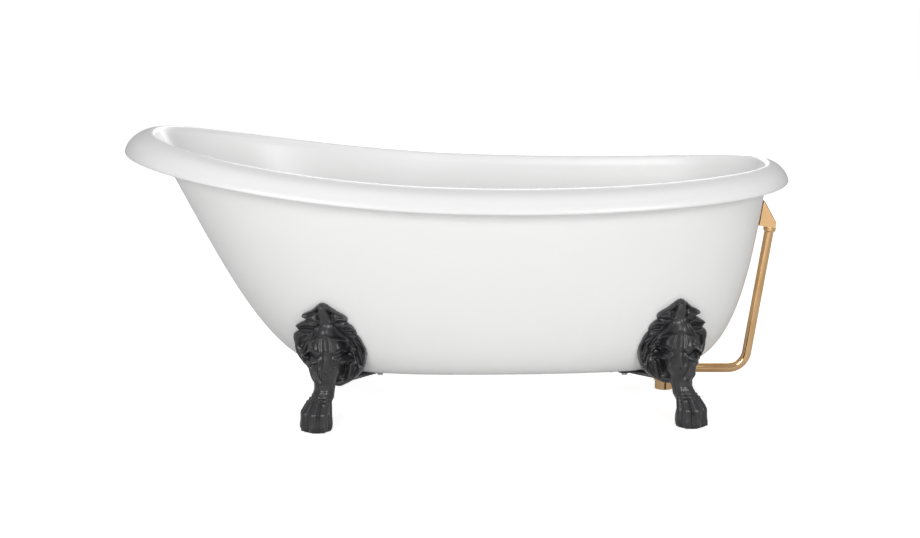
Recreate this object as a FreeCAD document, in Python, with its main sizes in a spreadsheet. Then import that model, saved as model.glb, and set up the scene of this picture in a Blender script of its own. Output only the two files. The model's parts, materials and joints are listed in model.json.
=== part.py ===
import FreeCAD, Part
import Sketcher
import os
from math import atan2, copysign, cos, degrees, hypot, pi, radians, sin, tan
from FreeCAD import Placement, Rotation, Vector

# Free-standing slipper bath on four lion-paw feet, in millimetres.
# +Z is up and the floor is z = 0.  -X is the raised head end, +X the foot end with
# the waste and overflow, -Y the front.  The bath is symmetrical about y = 0.

doc = FreeCAD.newDocument("bath")
sheet = doc.addObject("Spreadsheet::Sheet", "Sizes")

SIZES = [
    # rim: the ridge is the highest line of the rim, the lip its lowest outer edge
    ("ridge_head_reach", 807.5), ("ridge_foot_reach", 820.5), ("ridge_half_width", 319),
    ("ridge_head_height", 744), ("ridge_side_height", 640), ("ridge_foot_height", 661),
    ("plan_middle", -69.5), ("plan_taper", 35),
    ("flare_head", 63), ("flare_side", 77), ("flare_foot", 50),
    ("drop_head", 54), ("drop_side", 56), ("drop_foot", 49),
    ("crown_height", 9), ("crown_head_width", 18.5), ("crown_side_width", 12),
    ("crown_foot_width", 12.5), ("lip_radius", 6), ("liner_thickness", 6),
    # liner: how each wall leaves the rim and lands on the floor of the bath
    ("liner_floor_height", 153), ("liner_head_lean", 32), ("liner_side_lean", 6),
    ("liner_foot_lean", 10), ("liner_head_reach", 330), ("liner_side_reach", 160),
    ("liner_foot_reach", 590), ("liner_head_round", 165), ("liner_side_round", 100),
    ("liner_foot_round", 120), ("wall_fullness", 250),
    # outer skin
    ("skin_bottom_height", 121), ("skin_thickness", 4), ("skin_head_lean", 30.7),
    ("skin_side_lean", 3), ("skin_foot_lean", 8.2), ("skin_head_reach", 347.5),
    ("skin_side_reach", 160), ("skin_foot_reach", 585), ("skin_head_round", 176),
    ("skin_side_round", 105), ("skin_foot_round", 165),
    # base board bonded under the liner
    ("board_thickness", 22), ("board_head_end", 248), ("board_foot_end", 512),
    ("board_half_width", 112), ("board_corner", 90),
    # feet
    ("foot_head_azimuth", 39), ("foot_foot_azimuth", 48),
    ("foot_head_place", 386), ("foot_foot_place", 636),
    ("foot_head_spread", 310), ("foot_foot_spread", 259),
    ("foot_wall_gap", 1), ("lug_thickness", 12), ("lug_half_width", 24),
    ("bolt_line", 85), ("bolt_pitch", 46),
    ("bolt_diameter", 8), ("bolt_clearance", 1), ("bolt_head_width", 13),
    ("bolt_head_height", 5.3), ("washer_diameter", 16), ("washer_thickness", 1.6),
    ("insert_diameter", 12), ("insert_length", 14),
    # levelling screws in the paws
    ("leveller_diameter", 10), ("leveller_length", 48), ("leveller_pad_diameter", 30),
    ("leveller_pad_thickness", 6), ("leveller_recess", 0.8), ("leveller_clearance", 0.3),
    ("leveller_setback", 46),
    # waste
    ("waste_place", 555), ("waste_hole_diameter", 46), ("flange_diameter", 64),
    ("flange_thickness", 3), ("flange_bevel", 5), ("stem_diameter", 43), ("stem_bore", 37),
    ("stem_length", 46), ("mouth_bevel", 2), ("waste_seal_thickness", 1.5),
    ("waste_seal_diameter", 60), ("under_seal_thickness", 2), ("shoe_diameter", 55),
    ("shoe_length", 50), ("shoe_socket_depth", 13), ("shoe_port_drop", 18),
    ("outlet_diameter", 47.8), ("outlet_bore", 38), ("outlet_length", 24),
    ("port_length", 10), ("port_diameter", 30), ("port_socket_depth", 12),
    ("cross_drop", 16), ("cross_thickness", 8), ("boss_diameter", 18), ("rib_width", 4),
    ("cartridge_diameter", 10), ("cartridge_length", 38), ("cartridge_drop", 8),
    ("plug_stem_diameter", 6), ("plug_stem_length", 30), ("plug_diameter", 58),
    ("plug_thickness", 4), ("plug_dome", 3), ("plug_travel", 9), ("plug_seat_gap", 0.5),
    ("plug_seal_diameter", 35), ("plug_seal_thickness", 4), ("fit_clearance", 0.1),
    # overflow
    ("overflow_height", 525), ("overflow_hole_diameter", 34),
    ("gasket_thickness", 3), ("gasket_seat_gap", 0.6), ("hood_width", 44), ("hood_depth", 43.4),
    ("hood_top", 31), ("hood_bottom", 34), ("hood_apex", 19.5), ("hood_top_depth", 4.4),
    ("hood_wall", 3), ("hood_edge_round", 2), ("spigot_diameter", 28), ("spigot_length", 12),
    ("pipe_offset", 34.6), ("pipe_diameter", 25), ("pipe_wall", 1.5),
    ("pipe_bend_radius", 50), ("nut_diameter", 33.5), ("nut_length", 12), ("nut_chamfer", 3.5),
    ("nut_lip", 2), ("sleeve_diameter", 32), ("sleeve_bore", 26), ("rosette_diameter", 62),
    ("rosette_thickness", 3.5), ("rosette_bevel", 1.5), ("slot_width", 5), ("slot_inner", 9),
    ("slot_outer", 12.5), ("screw_diameter", 6), ("screw_head_diameter", 11),
    ("screw_head_height", 3), ("screw_length", 34), ("inner_gasket_diameter", 50),
    ("inner_gasket_thickness", 2), ("inner_seat_clearance", 1.75),
]
for row, (alias, value) in enumerate(SIZES, start=1):
    sheet.set(f"A{row}", alias)
    sheet.set(f"B{row}", str(value))
    sheet.setAlias(f"B{row}", alias)
doc.recompute()


def size(name):
    """The value of one named cell of the sheet."""
    return float(sheet.get(name))


PARTS = []                  # the sub-parts, in the order they are built
HEAD, SIDE, FOOT = 0, 1, 2  # the three places where a wall's profile is drawn
RING_CORNERS = 60           # corners of the rings that the shells are skinned through
RIDGE_SQUARENESS = (2.41, 2.65)
FLOOR_SQUARENESS = (2.3, 2.5)
FLOOR_MIDDLE = 60
FLOOR_TAPER = 12


def shaped(label, shape):
    """A sub-part whose shape no single feature makes."""
    part = doc.addObject("Part::Feature", label)
    part.Label = label
    part.Shape = shape
    part.Placement = Placement()
    PARTS.append(part)
    return part


# ---------------------------------------------------------------- shells of the bath

RIDGE_REACH = (size("ridge_head_reach"), size("ridge_half_width"), size("ridge_foot_reach"))
RIDGE_HEIGHT = tuple(size(f"ridge_{end}_height") for end in ("head", "side", "foot"))
FLARE = tuple(size(f"flare_{end}") for end in ("head", "side", "foot"))
DROP = tuple(size(f"drop_{end}") for end in ("head", "side", "foot"))
CROWN_WIDTH = tuple(size(f"crown_{end}_width") for end in ("head", "side", "foot"))
CROWN_START = 14  # degrees of the crown's ellipse where the liner's wall begins


def crown(place, angle):
    """A point of the rounding between the liner's wall and the ridge."""
    height = size("crown_height")
    return (-CROWN_WIDTH[place] * cos(radians(angle)), height * (1 - sin(radians(angle))))


def wall_sizes(name, floor_height):
    """The sizes of one wall (liner or skin) at the head, side and foot."""
    ends = ("head", "side", "foot")
    return {
        "lean": [size(f"{name}_{end}_lean") for end in ends],
        "reach": [size(f"{name}_{end}_reach") for end in ends],
        "round": [size(f"{name}_{end}_round") for end in ends],
        "floor": floor_height,
    }


LINER = wall_sizes("liner", size("liner_floor_height"))
LINER["start"] = [crown(place, CROWN_START) for place in (HEAD, SIDE, FOOT)]
SKIN = wall_sizes("skin", size("skin_bottom_height"))
SKIN["start"] = [(0, 0), (0, 0), (0, 0)]


def cubic(points, t):
    """Point and direction of a cubic curve at t."""
    weights = ((1 - t) ** 3, 3 * (1 - t) ** 2 * t, 3 * (1 - t) * t * t, t ** 3)
    slopes = (-3 * (1 - t) ** 2, 3 * (1 - t) * (1 - 3 * t), 3 * t * (2 - 3 * t), 3 * t * t)
    place = [sum(w * p[i] for w, p in zip(weights, points)) for i in (0, 1)]
    slope = [sum(w * p[i] for w, p in zip(slopes, points)) for i in (0, 1)]
    return place, slope


def beside(place, slope, offset):
    """A point moved square to its curve, to the right of its direction of travel."""
    length = hypot(*slope)
    return place[0] - slope[1] / length * offset, place[1] + slope[0] / length * offset


def power(value, exponent):
    return copysign(abs(value) ** exponent, value)


def between(places, u):
    """A value given at head (u = -1), side (u = 0) and foot (u = 1)."""
    head, side, foot = places
    return side + (foot - head) / 2 * u + ((foot + head) / 2 - side) * u * u


def oval(angles, reach, heights, squareness, middle, taper):
    """A closed superelliptic outline whose height follows its place along the bath."""
    points = []
    for angle in angles:
        exponent = 2 / (squareness[0] if cos(angle) < 0 else squareness[1])
        u = power(cos(angle), exponent)
        v = power(sin(angle), exponent)
        half = reach[FOOT] - middle if u > 0 else reach[HEAD] + middle
        points.append(Vector(middle + u * half, (reach[SIDE] - taper * u) * v, between(heights, u)))
    return points


def ridge(angles):
    return oval(angles, RIDGE_REACH, RIDGE_HEIGHT, RIDGE_SQUARENESS,
                size("plan_middle"), size("plan_taper"))


def ring_angles(count):
    """Angles that share out the ridge's length and its turning evenly."""
    steps = 2880
    fine = [2 * pi * i / steps for i in range(steps + 1)]
    points = [Vector(p.x, p.y, 0) for p in ridge(fine)]
    run = [0.0]
    turned = [0.0]
    for i in range(steps):
        leg = points[i + 1] - points[i]
        run.append(run[-1] + leg.Length)
        turned.append(turned[-1] + (points[i] - points[i - 1 if i else steps - 1]).getAngle(leg))
    share = [r / run[-1] / 2 + t / turned[-1] / 2 for r, t in zip(run, turned)]
    angles = []
    i = 0
    for k in range(count):
        while share[i + 1] < k / count:
            i += 1
        part = (k / count - share[i]) / (share[i + 1] - share[i])
        angles.append(fine[i] + part * (fine[i + 1] - fine[i]))
    return angles


ANGLES = ring_angles(RING_CORNERS)


def wall_point(wall, place, t, offset=0.0):
    """A wall's profile at one place: it leaves the rim at its lean and lands flat."""
    out, down = wall["start"][place]
    start = (RIDGE_REACH[place] + out, RIDGE_HEIGHT[place] - down)
    lean = radians(wall["lean"][place])
    pull = size("wall_fullness")
    land = (wall["reach"][place], wall["floor"])
    curve = (start, (start[0] - pull * sin(lean), start[1] - pull * cos(lean)),
             (land[0] + wall["round"][place], land[1]), land)
    return beside(*cubic(curve, t), offset)


def wall_ring(wall, t, offset=0.0, angles=None):
    """The level outline of a wall at station t, 0 at the rim and 1 on the floor."""
    points = [wall_point(wall, place, t, offset) for place in (HEAD, SIDE, FOOT)]
    squareness = [r + (f - r) * t for r, f in zip(RIDGE_SQUARENESS, FLOOR_SQUARENESS)]
    middle = size("plan_middle") + (FLOOR_MIDDLE - size("plan_middle")) * t
    taper = size("plan_taper") + (FLOOR_TAPER - size("plan_taper")) * t
    return oval(angles or ANGLES, [p[0] for p in points], [p[1] for p in points],
                squareness, middle, taper)


def rim_ring(profile):
    """The ridge moved outwards and down, by profile(place) -> (out, down)."""
    step = 1e-3
    out = [profile(place)[0] for place in (HEAD, SIDE, FOOT)]
    down = [profile(place)[1] for place in (HEAD, SIDE, FOOT)]
    before = ridge([a - step for a in ANGLES])
    after = ridge([a + step for a in ANGLES])
    points = []
    for here, last, following in zip(ridge(ANGLES), before, after):
        along = following - last
        normal = Vector(along.y, -along.x, 0).normalize()
        end = FOOT if normal.x > 0 else HEAD
        share = normal.x ** 2
        out_here = out[SIDE] + (out[end] - out[SIDE]) * share
        down_here = down[SIDE] + (down[end] - down[SIDE]) * share
        points.append(here + normal * out_here - Vector(0, 0, down_here))
    return points


def band(place, t, inset=0.0):
    """The bowed band of the rim, from the ridge (t = 0) to the lip (t = 1)."""
    flare, drop = FLARE[place], DROP[place]
    curve = ((0, 0), (0.5 * flare, 0.06 * drop), (0.93 * flare, 0.42 * drop),
             (flare, drop - size("lip_radius")))
    return beside(*cubic(curve, t), inset)


def lip(place, angle):
    """A point of the round bead under the rim's outer edge."""
    radius = size("lip_radius")
    return (FLARE[place] - radius + radius * cos(radians(angle)),
            DROP[place] - radius + radius * sin(radians(angle)))


def facets(lower, upper):
    """Flat triangles that join two rings with the same number of corners."""
    faces = []
    count = len(lower)
    for k in range(count):
        a, b = lower[k], lower[(k + 1) % count]
        c, d = upper[(k + 1) % count], upper[k]
        if (a - c).Length < (b - d).Length:
            triangles = ((a, b, c), (a, c, d))
        else:
            triangles = ((a, b, d), (b, c, d))
        faces += [Part.Face(Part.makePolygon([p, q, r, p])) for p, q, r in triangles]
    return faces


def skinned(rings):
    """The closed solid skinned through rings, with flat ends."""
    faces = []
    for lower, upper in zip(rings, rings[1:]):
        faces += facets(lower, upper)
    for end in (rings[0], rings[-1]):
        faces.append(Part.Face(Part.makePolygon(end + end[:1])))
    shell = Part.makeShell(faces)
    shell.sewShape()
    solid = Part.makeSolid(shell)
    if solid.Volume < 0:
        solid.reverse()
    return solid


def liner_rings():
    """The liner's section, from the floor up the wall, over the rim and back down outside."""
    thick = size("liner_thickness")
    rings = [wall_ring(LINER, t) for t in (1, 0.82, 0.64, 0.46, 0.25)]
    rings += [rim_ring(lambda place: crown(place, angle)) for angle in (CROWN_START, 50, 90)]
    rings += [rim_ring(lambda place: band(place, t)) for t in (0.35, 0.7, 1)]
    rings += [rim_ring(lambda place: lip(place, angle)) for angle in (60, 120, 180)]
    rings += [rim_ring(lambda place: band(place, 0.5, thick))]
    rings += [rim_ring(lambda place: (0, thick))]
    rings += [wall_ring(LINER, t, thick) for t in (0, 0.25, 0.46, 0.64, 0.82, 1)]
    return rings


SKIN_TOP = 0.022  # station where the skin meets the underside of the rim


def skin_rings():
    thick = size("skin_thickness")
    rings = [wall_ring(SKIN, t) for t in (1, 0.84, 0.68, 0.52, 0.3, SKIN_TOP)]
    rings += [wall_ring(SKIN, t, -thick) for t in (SKIN_TOP, 0.4, 0.7, 1)]
    return rings


def upright(radius, bottom, top, x=0.0, y=0.0):
    return Part.makeCylinder(radius, top - bottom, Vector(x, y, bottom), Vector(0, 0, 1))


WASTE_X = size("waste_place")


def wall_reach(wall, height):
    """How far the foot wall reaches at a height, on the middle line."""
    low, high = 0.0, 1.0
    for _ in range(40):
        middle = (low + high) / 2
        if wall_point(wall, FOOT, middle)[1] > height:
            low = middle
        else:
            high = middle
    return wall_point(wall, FOOT, low)[0]


def foot_wall_tilt(wall, height):
    """How far the foot wall leans outwards from upright at a height, in radians."""
    span = 30
    return atan2(wall_reach(wall, height + span) - wall_reach(wall, height - span), 2 * span)


OVERFLOW = Vector(wall_reach(SKIN, size("overflow_height")), 0, size("overflow_height"))
TILT = foot_wall_tilt(SKIN, OVERFLOW.z)
OUTWARD = Vector(cos(TILT), 0, -sin(TILT))   # square to the foot wall at the overflow
ALONG = Vector(sin(TILT), 0, cos(TILT))      # up the foot wall


def liner_face():
    """Where the overflow's middle line leaves the liner, measured back along that line."""
    near, far = 0.0, 80.0
    for _ in range(40):
        middle = (near + far) / 2
        place = OVERFLOW - OUTWARD * middle
        if place.x > wall_reach(LINER, place.z):
            near = middle
        else:
            far = middle
    return near


WALL_DEPTH = liner_face()  # from the liner's face to the skin's face
INNER = OVERFLOW - OUTWARD * WALL_DEPTH


def liner_stands_in(radius):
    """How far the hollow liner stands in front of its face within a disc round the overflow."""
    angles = [radians(a / 4) for a in range(-120, 121)]
    deepest = 0.0
    for k in range(1, 80):
        for point in wall_ring(LINER, k / 80, 0.0, angles):
            away = point - INNER
            depth = -away.dot(OUTWARD)
            if (away + OUTWARD * depth).Length <= radius:
                deepest = max(deepest, depth)
    return deepest


def waste_hole(bottom, top):
    return upright(size("waste_hole_diameter") / 2, bottom, top, WASTE_X)


def overflow_hole():
    reach = 60
    start = OVERFLOW - OUTWARD * reach
    return Part.makeCylinder(size("overflow_hole_diameter") / 2, 2 * reach, start, OUTWARD)


FLOOR = size("liner_floor_height")
BOTTOM = size("skin_bottom_height")
basin_shape = skinned(liner_rings()).cut(waste_hole(BOTTOM, FLOOR + 20)).cut(overflow_hole())
shaped("basin", basin_shape)


# ---------------------------------------------------------------- feet

def foot_plan():
    """The four feet: name, toe point on the floor and facing direction."""
    plan = []
    for end, sign in (("head", -1), ("foot", 1)):
        swing = radians(size(f"foot_{end}_azimuth"))
        for side, front in (("front", -1), ("rear", 1)):
            toe = Vector(sign * size(f"foot_{end}_place"), front * size(f"foot_{end}_spread"), 0)
            facing = Vector(sign * sin(swing), front * cos(swing), 0)
            plan.append((f"{side}_{'left' if sign < 0 else 'right'}", toe, facing))
    return plan


SKIN_STATIONS = 33
SKIN_TRACE_ANGLES = [2 * pi * i / 240 for i in range(240)]
SKIN_GRID = [wall_ring(SKIN, k / (SKIN_STATIONS - 1), 0.0, SKIN_TRACE_ANGLES)
             for k in range(SKIN_STATIONS)]


def skin_contour(height):
    """The skin's outer outline at one height."""
    contour = []
    for column in zip(*SKIN_GRID):
        for upper, lower in zip(column, column[1:]):
            if lower.z <= height <= upper.z and upper.z > lower.z:
                contour.append(lower + (upper - lower) * ((height - lower.z) / (upper.z - lower.z)))
                break
    return contour


def contour_beside_foot(toe, facing, height):
    """The skin's outline at one height as (across, behind) pairs in a foot's own frame."""
    across = Vector(-facing.y, facing.x, 0)
    pairs = [((p - toe).dot(across), (p - toe).dot(facing)) for p in skin_contour(height)]
    return pairs, pairs[1:] + pairs[:1]


def wall_at(contour, across):
    """The outermost place of the skin, along a foot's facing line, at one place across."""
    found = []
    for (s0, f0), (s1, f1) in zip(*contour):
        if min(s0, s1) <= across <= max(s0, s1) and s0 != s1:
            found.append(f0 + (f1 - f0) * (across - s0) / (s1 - s0))
    return max(found)


def wall_run(contour):
    """The outline beside a foot as (arc, across, behind), the arc from its middle line."""
    points = contour[0]
    limit = max(f for _, f in points) - WALL_RUN_DEPTH
    start = next(k for k in range(len(points)) if points[k - 1][1] <= limit < points[k][1])
    points = points[start:] + points[:start]
    near = points[:next(k for k, p in enumerate(points) if p[1] <= limit)]
    if near[0][0] > near[-1][0]:
        near.reverse()
    run = [(0.0, *near[0])]
    for (s0, f0), (s1, f1) in zip(near, near[1:]):
        run.append((run[-1][0] + hypot(s1 - s0, f1 - f0), s1, f1))
    middle = next(a0 + (a1 - a0) * -s0 / (s1 - s0)
                  for (a0, s0, _), (a1, s1, _) in zip(run, run[1:]) if s0 <= 0 < s1)
    return [(arc - middle, s, f) for arc, s, f in run]


def place_on_wall(run, arc, out):
    """A point (across, behind) at an arc along the outline, moved square out of it."""
    for (a0, s0, f0), (a1, s1, f1) in zip(run, run[1:]):
        if a0 <= arc <= a1:
            share = (arc - a0) / (a1 - a0)
            length = hypot(s1 - s0, f1 - f0)
            across = s0 + (s1 - s0) * share - (f1 - f0) / length * out
            behind = f0 + (f1 - f0) * share + (s1 - s0) / length * out
            return across, behind
    raise ValueError(f"the outline beside the foot ends before arc {arc}")


WALL_RUN_DEPTH = 150  # how far behind its foremost point the outline is followed

# A paw foot is skinned through level outlines, in millimetres from its toe point.
LEG_SECTIONS = [
    # height, front and back of the outline, half width
    (0, -3, -86, 38),
    (10, 1, -91, 43),
    (30, 0, -91, 44),
    (50, -8, -88, 41),
    (68, -22, -87, 34),
    (86, -33, -93, 28),
    (102, -40, -99, 27),
]
PALMETTE_SECTIONS = [
    # height, front, arc from the middle to the edge, thickness over the wall
    (124, -38, 32, 10),
    (134, -35, 56, 10),
    (149, -33, 88, 10),
    (165, -33, 106, 10),
    (188, -33, 120, 10),
    (211, -32, 120, 10),
    (235, -38, 110, 10),
    (243, -43, 100, 11),
    (250, -47, 92.5, 12),
    (258, -50, 93.5, 12),
    (266, -53, 87, 12),
    (275, -56, 73, 14),
    (281, -57, 58, 15),
    (289, -57, 66, 16),
    (297, -55, 62, 16),
    (305, -53, 47, 15),
    (313, -52, 32, 14),
    (320, -52, 22, 12),
    (328, -56, 12, 9),
    (334, -66, 4, 5),
]
WALL_HOLD = 205          # below this height the palmette keeps the wall's outline from it
INNER_SHRINK = (1.7e-8, 1.2e-8)  # how arcs shrink towards the bath's middle, head and foot
FOOT_CORNERS = 24
PALMETTE_ROOT = 9        # depth of the palmette's rim where it stands clear of the wall
TOES = 4
TOE_HEIGHT = 66
TOE_DEPTH = 4.5


def toe_swell(angle, height):
    """How far the toes stand out of the paw's outline at an angle from its front."""
    fade = max(0.0, 1 - (height / TOE_HEIGHT) ** 2)
    front = max(0.0, cos(angle)) ** 0.5
    return TOE_DEPTH * fade * front * cos(2 * TOES * angle)


def leg_outline(row):
    height, front, back, width = row
    middle = (front + back) / 2
    points = []
    for k in range(FOOT_CORNERS):
        angle = 2 * pi * k / FOOT_CORNERS
        swell = toe_swell(angle, height)
        f = middle + ((front - back) / 2 + swell) * power(cos(angle), 0.85)
        s = (width + swell) * power(sin(angle), 0.85)
        points.append(Vector(f, s, height))
    return points


def shrunk_arc(drawn, shrink):
    """The arc whose stretched length, a (1 + shrink a^4), is the drawn one."""
    arc = drawn
    for _ in range(12):
        arc -= (arc * (1 + shrink * arc ** 4) - drawn) / (1 + 5 * shrink * arc ** 4)
    return arc


def palmette_outline(row, toe, facing):
    """A crescent that lies along the bath's wall and swells forward in the middle."""
    height, front, reach, thickness = row
    gap = size("foot_wall_gap")
    run = wall_run(contour_beside_foot(toe, facing, max(height, WALL_HOLD)))
    wall = contour_beside_foot(toe, facing, max(height, BOTTOM + 1))
    middle = place_on_wall(run, 0.0, gap + thickness)[1]
    inner = 1 if facing.x < 0 else -1
    points = []
    for k in range(FOOT_CORNERS):
        angle = 2 * pi * k / FOOT_CORNERS
        share = power(sin(angle), 0.9)
        arc = abs(share) * reach
        if share * inner > 0:
            arc = shrunk_arc(arc, INNER_SHRINK[0 if facing.x < 0 else 1])
        rim = 1 - share ** 6
        swell = (1 - abs(share)) ** 1.4
        out = gap + thickness * rim
        if cos(angle) > 0:
            across, behind = place_on_wall(run, copysign(arc, share), out)
            behind += max(0, front - middle) * swell
        else:
            out -= PALMETTE_ROOT * rim + (LEG_DEPTH - PALMETTE_ROOT) * swell
            if height >= WALL_HOLD:
                out = gap
            across, behind = place_on_wall(run, copysign(arc, share), out)
            if height > BOTTOM:
                behind = max(behind, wall_at(wall, across) + gap)
        points.append(Vector(behind, across, height))
    return points


LEG_DEPTH = 16  # depth of the palmette's middle behind its face, below the wall


def arm_solid(length, inner_end):
    """The flat arm that reaches from the leg in under the base board, with two bolt holes."""
    top = BOTTOM
    bottom = top - size("lug_thickness")
    half = size("lug_half_width")
    start = -length
    arm = Part.makeBox(length - ARM_ROOT, 2 * half, top - bottom, Vector(start, -half, bottom))
    arm = arm.fuse(upright(half, bottom, top, start))
    hole = size("bolt_diameter") / 2 + size("bolt_clearance") / 2
    for place in inner_end:
        arm = arm.cut(upright(hole, bottom - 1, top + 1, place))
    return arm


ARM_ROOT = 80  # how far behind the toe the arm begins, inside the leg


def bolt_places(toe, facing):
    """How far behind the toe the two bolts of a foot stand."""
    outer = (abs(toe.y) - size("bolt_line")) / abs(facing.y)
    return -outer, -outer - size("bolt_pitch")


def leveller_hole():
    radius = size("leveller_diameter") / 2 + size("leveller_clearance")
    pad = size("leveller_pad_diameter") / 2 + 2 * size("leveller_clearance")
    depth = size("leveller_recess") + size("leveller_pad_thickness") + 2 * size("leveller_clearance")
    place = -size("leveller_setback")
    screw_top = size("leveller_recess") + size("leveller_length") + 2 * size("leveller_clearance")
    return upright(radius, -1, screw_top, place).fuse(upright(pad, -1, depth, place))


def foot_solid(toe, facing):
    """One cast foot, facing +X, with its toe point at the origin."""
    rings = [leg_outline(row) for row in LEG_SECTIONS]
    rings += [palmette_outline(row, toe, facing) for row in PALMETTE_SECTIONS]
    bolts = bolt_places(toe, facing)
    arm = arm_solid(-bolts[1], bolts)
    return skinned(rings).fuse(arm).cut(leveller_hole())


def foot_placement(toe, facing):
    return Placement(toe, Rotation(Vector(0, 0, 1), degrees(atan2(facing.y, facing.x))))


for label, toe, facing in foot_plan():
    part = shaped(f"foot_{label}", foot_solid(toe, facing))
    part.Placement = foot_placement(toe, facing)


def bolt_points():
    """Where all the foot bolts stand, seen from above."""
    points = []
    for _, toe, facing in foot_plan():
        for behind in bolt_places(toe, facing):
            place = toe + facing * behind
            points.append((place.x, place.y))
    return points


skin_shape = skinned(skin_rings()).cut(waste_hole(BOTTOM - 10, FLOOR)).cut(overflow_hole())
for bolt_x, bolt_y in bolt_points():
    clear = (size("bolt_diameter") + size("bolt_clearance")) / 2
    skin_shape = skin_shape.cut(upright(clear, BOTTOM - 5, BOTTOM + 10, bolt_x, bolt_y))
shaped("outer_skin", skin_shape)


# ---------------------------------------------------------------- bound features

class Bound:
    """A number worked out from cells of the sheet, with the expression that gives it."""

    def __init__(self, value, text):
        self.value = value
        self.text = text

    def joined(self, other, sign, result):
        text = other.text if isinstance(other, Bound) else str(other)
        return Bound(result, f"({self.text} {sign} {text})")

    def __add__(self, other):
        return self.joined(other, "+", self.value + number(other))

    def __sub__(self, other):
        return self.joined(other, "-", self.value - number(other))

    def __mul__(self, other):
        return self.joined(other, "*", self.value * number(other))

    def __truediv__(self, other):
        return self.joined(other, "/", self.value / number(other))

    def __neg__(self):
        return Bound(-self.value, f"(0 - {self.text})")


def number(item):
    return item.value if isinstance(item, Bound) else item


def cell(name):
    return Bound(size(name), f"Sizes.{name}")


def plane_of(body, role):
    return next(f for f in body.Origin.OriginFeatures if f.Role == role)


def outline_sketch(body, role, corners):
    """A closed outline of straight lines whose every corner is bound to the sheet."""
    sketch = body.newObject("Sketcher::SketchObject", f"{body.Name}_outline")
    sketch.AttachmentSupport = [(plane_of(body, role), "")]
    sketch.MapMode = "FlatFace"
    points = [Vector(number(x), number(y), 0) for x, y in corners]
    count = len(points)
    for i, point in enumerate(points):
        sketch.addGeometry(Part.LineSegment(point, points[(i + 1) % count]), False)
    for i in range(count):
        sketch.addConstraint(Sketcher.Constraint("Coincident", i, 2, (i + 1) % count, 1))
    for i, (x, y) in enumerate(corners):
        for kind, item, axis in (("DistanceX", x, -2), ("DistanceY", y, -1)):
            if abs(number(item)) < 1e-9:
                sketch.addConstraint(Sketcher.Constraint("PointOnObject", i, 1, axis))
                continue
            index = sketch.addConstraint(Sketcher.Constraint(kind, -1, 1, i, 1, number(item)))
            if isinstance(item, Bound):
                sketch.setExpression(f"Constraints[{index}]", item.text)
    return sketch


def body_at(label, placement):
    body = doc.addObject("PartDesign::Body", label)
    body.Label = label
    body.Placement = placement
    PARTS.append(body)
    return body


def turned(label, corners, placement):
    """A body turned about its own Z axis from corners of (radius, height)."""
    body = body_at(label, placement)
    sketch = outline_sketch(body, "XZ_Plane", corners)
    turn = body.newObject("PartDesign::Revolution", f"{label}_turn")
    turn.Profile = sketch
    turn.ReferenceAxis = (sketch, ["V_Axis"])
    turn.Angle = 360
    return body


def ring_body(label, inner, outer, bottom, top, placement):
    return turned(label, [(inner, bottom), (outer, bottom), (outer, top), (inner, top)], placement)


def rod_body(label, radius, bottom, top, placement):
    return turned(label, [(0, bottom), (radius, bottom), (radius, top), (0, top)], placement)


# ---------------------------------------------------------------- base board

def board():
    """Plywood with round-cornered ends, holes for the inserts, resting on the skin's floor."""
    body = body_at("base_board", Placement(Vector(0, 0, BOARD_BOTTOM), Rotation()))
    sketch = outline_sketch(body, "XY_Plane", [
        (-cell("board_head_end"), -cell("board_half_width")),
        (cell("board_foot_end"), -cell("board_half_width")),
        (cell("board_foot_end"), cell("board_half_width")),
        (-cell("board_head_end"), cell("board_half_width")),
    ])
    pad = body.newObject("PartDesign::Pad", "base_board_pad")
    pad.Profile = sketch
    pad.setExpression("Length", "Sizes.board_thickness")
    doc.recompute()
    edges = [f"Edge{i}" for i, edge in enumerate(pad.Shape.Edges, start=1)
             if abs(edge.tangentAt(edge.FirstParameter).z) > 0.99]
    fillet = body.newObject("PartDesign::Fillet", "base_board_corners")
    fillet.Base = (pad, edges)
    fillet.setExpression("Radius", "Sizes.board_corner")
    holes = body.newObject("Sketcher::SketchObject", "base_board_holes")
    holes.AttachmentSupport = [(plane_of(body, "XY_Plane"), "")]
    holes.MapMode = "FlatFace"
    for x, y in bolt_points():
        circle = Part.Circle(Vector(x, y, 0), Vector(0, 0, 1), size("insert_diameter") / 2)
        index = holes.addGeometry(circle, False)
        radius = holes.addConstraint(Sketcher.Constraint("Radius", index, size("insert_diameter") / 2))
        holes.setExpression(f"Constraints[{radius}]", "Sizes.insert_diameter / 2")
    pocket = body.newObject("PartDesign::Pocket", "base_board_pockets")
    pocket.Profile = holes
    pocket.Reversed = True
    pocket.setExpression("Length", "Sizes.insert_length")
    return body


BOARD_BOTTOM = BOTTOM + size("skin_thickness")
board()


# ---------------------------------------------------------------- foot fasteners

def hexagon(across_flats, bottom, top, x, y):
    radius = across_flats / 2 / cos(pi / 6)
    corners = [Vector(x + radius * cos(pi * k / 3), y + radius * sin(pi * k / 3), bottom)
               for k in range(6)]
    face = Part.Face(Part.makePolygon(corners + corners[:1]))
    return face.extrude(Vector(0, 0, top - bottom))


LUG_BOTTOM = BOTTOM - size("lug_thickness")
WASHER_BOTTOM = LUG_BOTTOM - size("washer_thickness")
INSERT_TOP = BOARD_BOTTOM + size("insert_length")


def foot_bolt(x, y):
    head = hexagon(size("bolt_head_width"), WASHER_BOTTOM - size("bolt_head_height"),
                   WASHER_BOTTOM, x, y)
    return head.fuse(upright(size("bolt_diameter") / 2, WASHER_BOTTOM, INSERT_TOP, x, y))


def washer(x, y):
    disc = upright(size("washer_diameter") / 2, WASHER_BOTTOM, LUG_BOTTOM, x, y)
    hole = size("bolt_diameter") / 2 + size("bolt_clearance") / 4
    return disc.cut(upright(hole, WASHER_BOTTOM - 1, LUG_BOTTOM + 1, x, y))


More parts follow.
